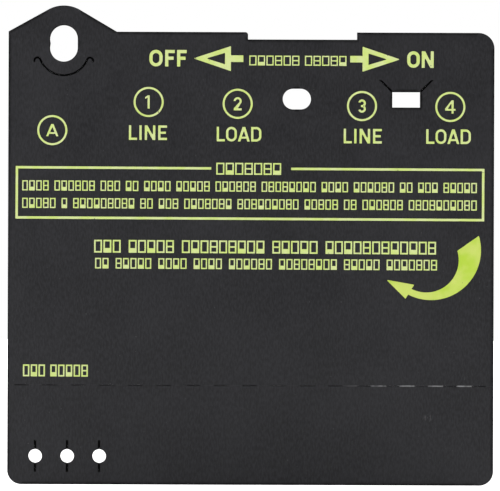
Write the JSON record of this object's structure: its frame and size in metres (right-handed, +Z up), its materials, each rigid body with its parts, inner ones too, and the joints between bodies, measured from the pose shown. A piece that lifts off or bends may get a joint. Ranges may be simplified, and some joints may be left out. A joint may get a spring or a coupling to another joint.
{
  "type": "switch terminal insulating card",
  "caption": "Flat die-cut black insulating card with a pivot ear, snap lip, keeper tongue, hinged flap and printed terminal legend.",
  "frame": {"origin": "centre of the ear hole's upper seat, on the sheet's mid-plane", "axes": "+X along the card's width to the right, +Z up, -Y out of the printed front face"},
  "size_m": [0.11, 0.0008, 0.1084],
  "materials": {
    "sheet": "satin black insulating sheet",
    "bend": "satin black, stressed lighter along the bend",
    "ink": "yellow-green screen-printed ink",
    "ink_bright": "yellow-green screen-printed ink, solid area"
  },
  "bodies": {
    "card": {"card_panel": "sheet", "crease_lands": "bend", "tongue_web": "bend", "lip_webs": "bend", "ink_arrow_off": "ink", "ink_arrow_on": "ink", "ink_word_off": "ink", "ink_word_on": "ink", "ink_lever_label": "ink", "ink_ring_a": "ink", "ink_ring_1": "ink", "ink_ring_2": "ink", "ink_ring_3": "ink", "ink_ring_4": "ink", "ink_line_1": "ink", "ink_load_2": "ink", "ink_line_3": "ink", "ink_load_4": "ink", "ink_notice_frame": "ink", "ink_notice_heading": "ink", "ink_notice_text": "ink", "ink_step_heading": "ink", "ink_step_text": "ink", "ink_swing_arrow": "ink_bright", "ink_code_blocks": "ink"},
    "flap": {"fold_flap": "sheet"},
    "tongue": {"keeper_tongue": "sheet"},
    "lip": {"pivot_lip": "sheet"}
  },
  "joints": [
    {"name": "flap_fold", "type": "hinge", "parent": "card", "child": "flap", "pos_m": [0.0425, 0.0004, -0.0783], "axis": [1, 0, 0], "range_deg": [0, 90], "deforming": ["crease_lands"]},
    {"name": "tongue_flex", "type": "hinge", "parent": "card", "child": "tongue", "pos_m": [0.07755, 0, -0.0093], "axis": [1, 0, 0], "range_deg": [-25, 25], "stiffness_Nm_per_rad": 0.004, "deforming": ["tongue_web"]},
    {"name": "lip_flex", "type": "hinge", "parent": "card", "child": "lip", "pos_m": [0, 0, -0.00445], "axis": [1, 0, 0], "range_deg": [-15, 15], "stiffness_Nm_per_rad": 0.004, "deforming": ["lip_webs"]}
  ]
}
